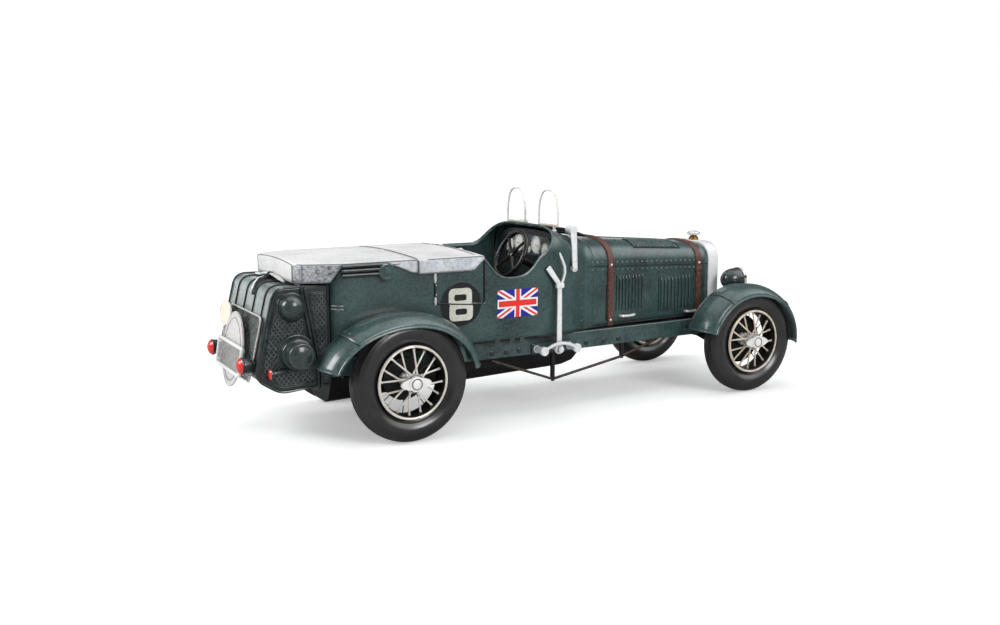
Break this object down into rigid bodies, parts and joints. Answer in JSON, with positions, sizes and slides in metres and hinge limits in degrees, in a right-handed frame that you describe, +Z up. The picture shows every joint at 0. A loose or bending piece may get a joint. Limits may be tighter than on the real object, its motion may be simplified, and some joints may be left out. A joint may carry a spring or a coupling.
{
  "type": "model car",
  "caption": "Open vintage racing tourer display model with wire wheels that roll and steer, strapped bonnet, covered rear seats, hand-brake lever and folding windscreen.",
  "frame": {"origin": "on the ground under the middle of the car's overall box", "axes": "+X towards the front of the car, +Y to the car's left, +Z up"},
  "size_m": [0.386, 0.136, 0.1385],
  "materials": {
    "green_enamel": "dark green enamel with an aged sheen",
    "black_enamel": "satin black enamel",
    "tyre_rubber": "matt black rubber",
    "silver_wire": "bright wire with a brassy tint",
    "white_enamel": "pale grey and white enamel",
    "cream_enamel": "cream enamel",
    "strap_leather": "brown strap leather",
    "dark_hide": "dark grained hide",
    "aged_brass": "aged brass",
    "lamp_glass": "clear lamp glass",
    "red_lens": "red lens in a dark cup"
  },
  "bodies": {
    "chassis": {"aero_screen_left": "silver_wire", "aero_screen_right": "silver_wire", "belly_pan": "black_enamel", "body_tub": "green_enamel", "bonnet": "green_enamel", "bonnet_strap_front": "strap_leather", "bonnet_strap_rear": "strap_leather", "chassis_rail_left": "green_enamel", "chassis_rail_right": "green_enamel", "dashboard": "black_enamel", "floor_board": "black_enamel", "front_axle": "black_enamel", "front_cross_member": "green_enamel", "front_mudguard_left": "green_enamel", "front_mudguard_right": "green_enamel", "front_seat": "dark_hide", "fuel_tank": "green_enamel", "headlamp_bar": "green_enamel", "headlamp_left": "green_enamel", "headlamp_lens_left": "lamp_glass", "headlamp_lens_right": "lamp_glass", "headlamp_right": "green_enamel", "hood_irons_left": "green_enamel", "hood_irons_right": "green_enamel", "lever_bracket": "white_enamel", "lower_filler_cap": "green_enamel", "mid_cross_member": "green_enamel", "number_board": "cream_enamel", "radiator_cap": "aged_brass", "radiator_core": "black_enamel", "radiator_shell": "white_enamel", "rear_axle": "black_enamel", "rear_cross_member": "green_enamel", "rear_mudguard_left": "green_enamel", "rear_mudguard_right": "green_enamel", "steering_column": "black_enamel", "tail_lamp_left": "red_lens", "tail_lamp_right": "red_lens", "tank_strap": "black_enamel", "tonneau_front": "white_enamel", "tonneau_rear": "white_enamel", "truss_rod_left": "black_enamel", "truss_rod_right": "black_enamel", "upper_filler_cap": "green_enamel", "windscreen_stanchion_left": "white_enamel", "windscreen_stanchion_right": "white_enamel"},
    "rear_wheel_right": {"wheel_rear_right": "silver_wire", "tyre_rear_right": "tyre_rubber"},
    "rear_wheel_left": {"wheel_rear_left": "silver_wire", "tyre_rear_left": "tyre_rubber"},
    "knuckle_right": {"steering_knuckle_right": "black_enamel"},
    "knuckle_left": {"steering_knuckle_left": "black_enamel"},
    "front_wheel_right": {"wheel_front_right": "silver_wire", "tyre_front_right": "tyre_rubber"},
    "front_wheel_left": {"wheel_front_left": "silver_wire", "tyre_front_left": "tyre_rubber"},
    "track_rod": {"track_rod": "black_enamel"},
    "steering_wheel": {"steering_wheel": "dark_hide"},
    "brake_lever": {"brake_lever": "white_enamel"},
    "windscreen": {"windscreen": "black_enamel"}
  },
  "joints": [
    {"name": "rear_right_spin", "type": "hinge", "parent": "chassis", "child": "rear_wheel_right", "pos_m": [-0.10265, -0.0566, 0.035], "axis": [0, 1, 0], "continuous": true},
    {"name": "rear_left_spin", "type": "hinge", "parent": "chassis", "child": "rear_wheel_left", "pos_m": [-0.10265, 0.0566, 0.035], "axis": [0, 1, 0], "continuous": true},
    {"name": "kingpin_right_turn", "type": "hinge", "parent": "chassis", "child": "knuckle_right", "pos_m": [0.14965, -0.045, 0.035], "axis": [0, 0, 1], "range_deg": [-8, 8]},
    {"name": "kingpin_left_turn", "type": "hinge", "parent": "chassis", "child": "knuckle_left", "pos_m": [0.14965, 0.045, 0.035], "axis": [0, 0, 1], "range_deg": [-8, 8]},
    {"name": "front_right_spin", "type": "hinge", "parent": "knuckle_right", "child": "front_wheel_right", "pos_m": [0.14965, -0.0566, 0.035], "axis": [0, 1, 0], "continuous": true},
    {"name": "front_left_spin", "type": "hinge", "parent": "knuckle_left", "child": "front_wheel_left", "pos_m": [0.14965, 0.0566, 0.035], "axis": [0, 1, 0], "continuous": true},
    {"name": "track_rod_slide", "type": "slide", "parent": "chassis", "child": "track_rod", "axis": [0, 1, 0], "range_m": [-0.0016, 0.0016]},
    {"name": "steering_wheel_turn", "type": "hinge", "parent": "chassis", "child": "steering_wheel", "pos_m": [-0.01565, -0.021, 0.0989], "axis": [0.891, 0, -0.454], "range_deg": [-42, 42]},
    {"name": "brake_lever_swing", "type": "hinge", "parent": "chassis", "child": "brake_lever", "pos_m": [0.00435, -0.0464, 0.041], "axis": [0, 1, 0], "range_deg": [-18, 8]},
    {"name": "windscreen_fold", "type": "hinge", "parent": "chassis", "child": "windscreen", "pos_m": [0.02335, 0, 0.11309], "axis": [0, -1, 0], "range_deg": [0, 108]}
  ],
  "couplings": [
    {"joint": "kingpin_left_turn", "follows": "kingpin_right_turn", "ratio": 1},
    {"joint": "track_rod_slide", "follows": "kingpin_right_turn", "m_per_rad": -0.0105},
    {"joint": "steering_wheel_turn", "follows": "kingpin_right_turn", "ratio": -5}
  ]
}
